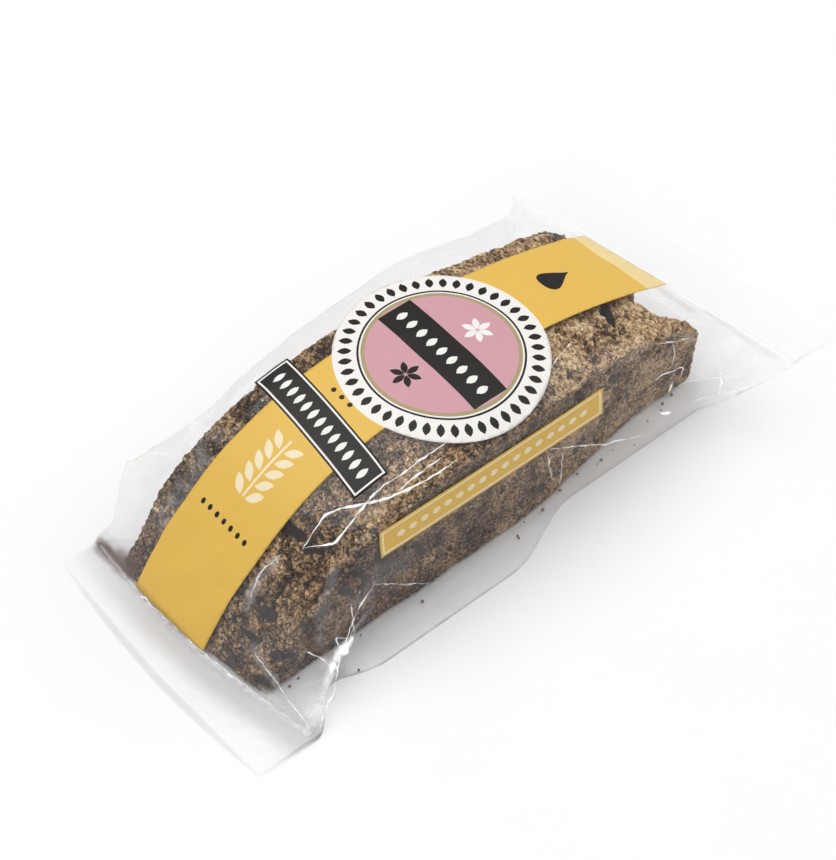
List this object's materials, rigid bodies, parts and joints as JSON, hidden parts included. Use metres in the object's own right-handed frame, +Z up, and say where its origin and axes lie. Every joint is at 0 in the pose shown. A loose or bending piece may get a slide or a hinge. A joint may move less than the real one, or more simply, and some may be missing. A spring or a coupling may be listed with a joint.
{
  "type": "packed biscotti",
  "caption": "Chocolate chip biscotti standing side by side in a clear crinkled flow-wrap film pack, with a banded front label, a round badge and a narrow side strip.",
  "frame": {"origin": "on the table, under the middle of the pack's own box", "axes": "+X along the pack from the near seal, which lies on the table, to the raised far seal; -Y is the front long side with the strip label; +Z up"},
  "size_m": [0.1364, 0.0616, 0.0312],
  "materials": {
    "clear_film": "thin clear crinkled film, glossy",
    "label_print": "satin printed label, warm yellow with black, white and pink fields",
    "biscuit": "dry baked chocolate crumb with a coarse tan crust and dark chips"
  },
  "bodies": {
    "root": {"film_bag": "clear_film", "front_label": "label_print", "side_label": "label_print"}
  },
  "joints": []
}
